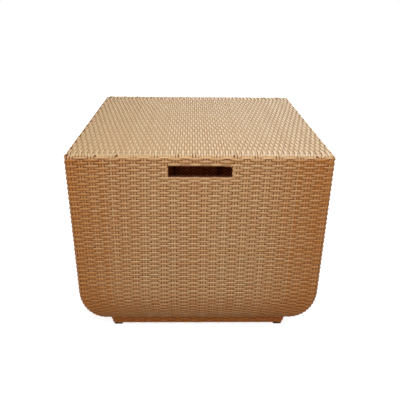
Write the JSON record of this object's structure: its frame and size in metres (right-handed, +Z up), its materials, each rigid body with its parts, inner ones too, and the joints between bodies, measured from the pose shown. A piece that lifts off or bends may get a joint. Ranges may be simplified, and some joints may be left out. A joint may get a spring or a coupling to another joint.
{
  "type": "propane tank cover table",
  "caption": "Woven resin cube that hides an upright gas bottle and serves as a side table, open below, with a hand slot front and back and a recessed plinth on glides.",
  "frame": {"origin": "on the floor under the middle of the cover, at the underside of the glides", "axes": "+Z up, the front with the pictured hand slot faces -Y, +X to the right seen from the front"},
  "size_m": [0.59, 0.59, 0.505],
  "materials": {
    "woven_resin": "woven flat strands of honey-brown synthetic wicker, lightly mottled, satin",
    "painted_tube": "dark brown powder coat, fine texture, satin",
    "black_plastic": "moulded black plastic, matt"
  },
  "bodies": {
    "root": {"woven_top": "woven_resin", "woven_front": "woven_resin", "woven_right": "woven_resin", "woven_back": "woven_resin", "woven_left": "woven_resin", "woven_plinth_front": "woven_resin", "woven_plinth_right": "woven_resin", "woven_plinth_back": "woven_resin", "woven_plinth_left": "woven_resin", "slot_binding_front": "woven_resin", "slot_binding_back": "woven_resin", "top_rail_front": "painted_tube", "top_rail_right": "painted_tube", "top_rail_back": "painted_tube", "top_rail_left": "painted_tube", "top_crossbar_1": "painted_tube", "top_crossbar_2": "painted_tube", "top_crossbar_3": "painted_tube", "corner_post_front_left": "painted_tube", "corner_post_front_right": "painted_tube", "corner_post_back_right": "painted_tube", "corner_post_back_left": "painted_tube", "stile_front_left": "painted_tube", "stile_front_right": "painted_tube", "rib_right_front": "painted_tube", "rib_right_back": "painted_tube", "stile_back_right": "painted_tube", "stile_back_left": "painted_tube", "rib_left_back": "painted_tube", "rib_left_front": "painted_tube", "handle_bar_front": "painted_tube", "handle_bar_back": "painted_tube", "base_rail_front": "painted_tube", "base_rail_right": "painted_tube", "base_rail_back": "painted_tube", "base_rail_left": "painted_tube", "leg_front_left": "painted_tube", "leg_front_right": "painted_tube", "leg_back_right": "painted_tube", "leg_back_left": "painted_tube", "plinth_rail_front": "painted_tube", "plinth_rail_right": "painted_tube", "plinth_rail_back": "painted_tube", "plinth_rail_left": "painted_tube", "glide_front_left": "black_plastic", "glide_front_right": "black_plastic", "glide_back_right": "black_plastic", "glide_back_left": "black_plastic"}
  },
  "joints": []
}
